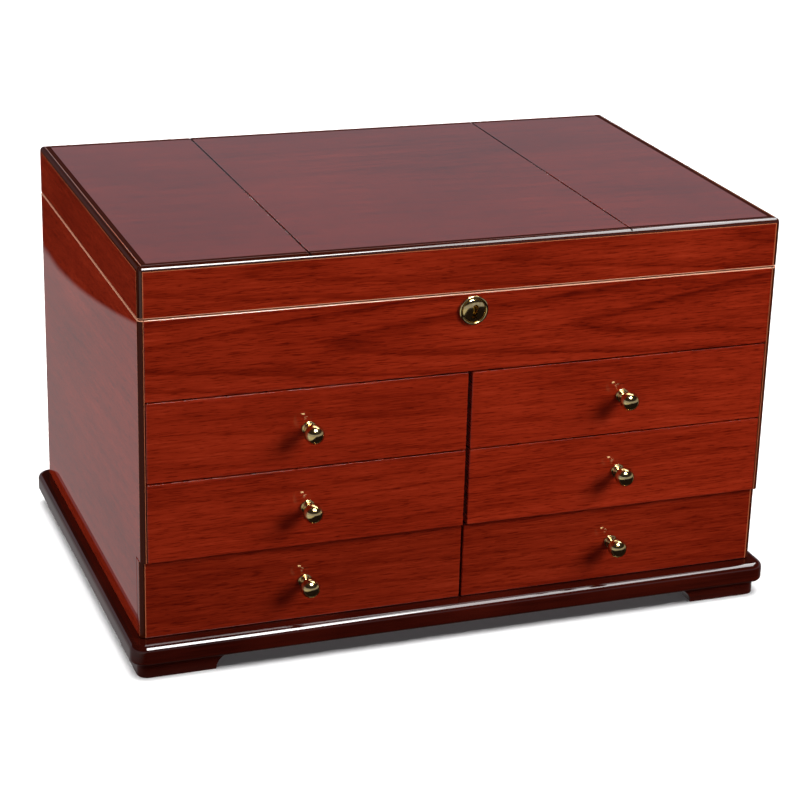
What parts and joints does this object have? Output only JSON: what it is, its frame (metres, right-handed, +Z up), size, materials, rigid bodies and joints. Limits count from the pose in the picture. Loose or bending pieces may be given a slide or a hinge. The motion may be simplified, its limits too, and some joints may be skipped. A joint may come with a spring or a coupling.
{
  "type": "jewellery chest with drawers",
  "caption": "Lacquered wooden jewellery chest with a hinged mirrored lid, a lined top compartment with a key lock, and drawers in two columns on a moulded base with feet.",
  "frame": {"origin": "on the ground, at the middle of the overall box", "axes": "+Z up; -Y towards the front with the drawers and the lock; +X to the right as seen from the front"},
  "size_m": [0.446, 0.3164, 0.2706],
  "materials": {
    "veneer": "high-gloss lacquer over reddish mahogany veneer",
    "moulding": "high-gloss lacquer over dark mahogany",
    "carcase": "satin stained wood",
    "brass": "polished",
    "mirror": "silvered glass",
    "velvet": "short-pile velvet"
  },
  "bodies": {
    "case": {"base_plinth": "moulding", "foot_front_left": "moulding", "foot_front_right": "moulding", "foot_back_right": "moulding", "foot_back_left": "moulding", "side_panel_left": "veneer", "side_panel_right": "veneer", "back_panel": "veneer", "case_floor": "carcase", "centre_divider": "carcase", "shelf_upper": "carcase", "shelf_lower": "carcase", "compartment_floor": "carcase", "compartment_front": "veneer", "compartment_liner": "velvet", "ring_rolls": "velvet", "compartment_partition": "velvet", "hinge_left_case_leaf": "brass", "hinge_left_pin": "brass", "hinge_right_case_leaf": "brass", "hinge_right_pin": "brass", "lock_escutcheon": "brass", "lock_case": "brass"},
    "lid": {"lid_rail_front": "veneer", "lid_rail_back": "veneer", "lid_rail_left": "veneer", "lid_rail_right": "veneer", "lid_top_panel": "veneer", "lid_mirror": "mirror", "mirror_surround": "velvet", "hinge_left_lid_leaf": "brass", "hinge_right_lid_leaf": "brass", "lid_strike": "brass"},
    "lock_plug": {"lock_plug": "brass"},
    "lock_bolt": {"lock_bolt": "brass"},
    "drawer_left_1": {"drawer_left_1_front": "veneer", "drawer_left_1_box": "carcase", "drawer_left_1_lining": "velvet", "drawer_left_1_knob": "brass"},
    "drawer_right_1": {"drawer_right_1_front": "veneer", "drawer_right_1_box": "carcase", "drawer_right_1_lining": "velvet", "drawer_right_1_knob": "brass"},
    "drawer_left_2": {"drawer_left_2_front": "veneer", "drawer_left_2_box": "carcase", "drawer_left_2_lining": "velvet", "drawer_left_2_knob": "brass"},
    "drawer_right_2": {"drawer_right_2_front": "veneer", "drawer_right_2_box": "carcase", "drawer_right_2_lining": "velvet", "drawer_right_2_knob": "brass"},
    "drawer_left_3": {"drawer_left_3_front": "veneer", "drawer_left_3_box": "carcase", "drawer_left_3_lining": "velvet", "drawer_left_3_knob": "brass"},
    "drawer_right_3": {"drawer_right_3_front": "veneer", "drawer_right_3_box": "carcase", "drawer_right_3_lining": "velvet", "drawer_right_3_knob": "brass"}
  },
  "joints": [
    {"name": "lid_hinge", "type": "hinge", "parent": "case", "child": "lid", "pos_m": [0, 0.15288, 0.2376], "axis": [-1, 0, 0], "range_deg": [0, 95]},
    {"name": "drawer_left_1_slide", "type": "slide", "parent": "case", "child": "drawer_left_1", "axis": [0, -1, 0], "range_m": [0, 0.17]},
    {"name": "drawer_right_1_slide", "type": "slide", "parent": "case", "child": "drawer_right_1", "axis": [0, -1, 0], "range_m": [0, 0.17]},
    {"name": "drawer_left_2_slide", "type": "slide", "parent": "case", "child": "drawer_left_2", "axis": [0, -1, 0], "range_m": [0, 0.17]},
    {"name": "drawer_right_2_slide", "type": "slide", "parent": "case", "child": "drawer_right_2", "axis": [0, -1, 0], "range_m": [0, 0.17]},
    {"name": "drawer_left_3_slide", "type": "slide", "parent": "case", "child": "drawer_left_3", "axis": [0, -1, 0], "range_m": [0, 0.17]},
    {"name": "drawer_right_3_slide", "type": "slide", "parent": "case", "child": "drawer_right_3", "axis": [0, -1, 0], "range_m": [0, 0.17]},
    {"name": "lock_bolt_slide", "type": "slide", "parent": "case", "child": "lock_bolt", "axis": [0, 0, 1], "range_m": [0, 0.005]},
    {"name": "lock_plug_turn", "type": "hinge", "parent": "case", "child": "lock_plug", "pos_m": [0, -0.13982, 0.2258], "axis": [0, 1, 0], "range_deg": [0, 90]}
  ],
  "couplings": [
    {"joint": "lock_plug_turn", "follows": "lock_bolt_slide", "rad_per_m": 314}
  ]
}
